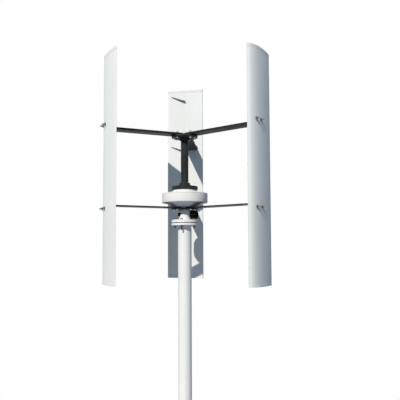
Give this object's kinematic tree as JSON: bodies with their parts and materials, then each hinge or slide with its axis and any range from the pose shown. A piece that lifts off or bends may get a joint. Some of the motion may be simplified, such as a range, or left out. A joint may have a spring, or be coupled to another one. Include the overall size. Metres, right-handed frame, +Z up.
{
  "type": "vertical axis wind turbine",
  "caption": "Straight-bladed vertical axis wind turbine: crowned upright blades on flat arms about a disc-shaped hub generator, standing on a flanged tube mast.",
  "frame": {"origin": "centre of the base plate's underside, on the rotor's axis", "axes": "+Z up along the mast and the rotor's axis; +X to the right and +Y away, as the turbine is seen from its front"},
  "size_m": [0.9152, 0.816, 2.1126],
  "materials": {
    "blade_white": "white gel coat on a glass fibre skin",
    "cap_white": "satin white",
    "housing_white": "smooth white coat on cast aluminium",
    "mast_white": "satin white powder coat",
    "satin_black": "satin black powder coat",
    "plastic_black": "fine-grained black",
    "stainless": "plain stainless",
    "zinc": "zinc plated",
    "steel": "ground steel",
    "rubber": "matt black rubber",
    "resin": "cast resin",
    "copper": "enamelled copper winding",
    "magnet_nickel": "nickel plated",
    "seal_grey": "light grey seal"
  },
  "bodies": {
    "mast": {"base_plate": "mast_white", "mast_tube": "mast_white", "mast_flange": "mast_white", "flange_gasket": "rubber", "generator_neck": "housing_white", "flange_bolt_1": "zinc", "flange_bolt_2": "zinc", "flange_bolt_3": "zinc", "flange_bolt_4": "zinc", "terminal_box": "plastic_black", "terminal_box_lid": "plastic_black", "cable_gland": "plastic_black", "gland_seal": "seal_grey", "generator_shaft": "steel", "shaft_nut": "zinc", "stator_disc": "resin", "stator_coils": "copper", "lower_bearing_inner_ring": "steel", "upper_bearing_inner_ring": "steel"},
    "rotor": {"generator_lower_cover": "housing_white", "generator_rim": "housing_white", "generator_upper_cover": "housing_white", "lower_bearing_outer_ring": "steel", "upper_bearing_outer_ring": "steel", "lower_magnet_plate": "steel", "upper_magnet_plate": "steel", "lower_magnet_ring": "magnet_nickel", "upper_magnet_ring": "magnet_nickel", "shaft_seal": "rubber", "tube_base_flange": "satin_black", "hub_tube": "satin_black", "upper_hub_flange": "satin_black", "lower_arm_plate": "satin_black", "upper_arm_1": "satin_black", "upper_arm_2": "satin_black", "upper_arm_3": "satin_black", "lower_arm_1": "satin_black", "lower_arm_2": "satin_black", "lower_arm_3": "satin_black", "blade_1_skin": "blade_white", "blade_1_top_cap": "cap_white", "blade_1_bottom_cap": "cap_white", "blade_1_bolt_1": "stainless", "blade_1_bolt_2": "stainless", "blade_1_bolt_3": "stainless", "blade_1_bolt_4": "stainless", "blade_2_skin": "blade_white", "blade_2_top_cap": "cap_white", "blade_2_bottom_cap": "cap_white", "blade_2_bolt_1": "stainless", "blade_2_bolt_2": "stainless", "blade_2_bolt_3": "stainless", "blade_2_bolt_4": "stainless", "blade_3_skin": "blade_white", "blade_3_top_cap": "cap_white", "blade_3_bottom_cap": "cap_white", "blade_3_bolt_1": "stainless", "blade_3_bolt_2": "stainless", "blade_3_bolt_3": "stainless", "blade_3_bolt_4": "stainless"}
  },
  "joints": [
    {"name": "rotor_spin", "type": "hinge", "parent": "mast", "child": "rotor", "pos_m": [0, 0, 1.35], "axis": [0, 0, 1], "continuous": true}
  ]
}
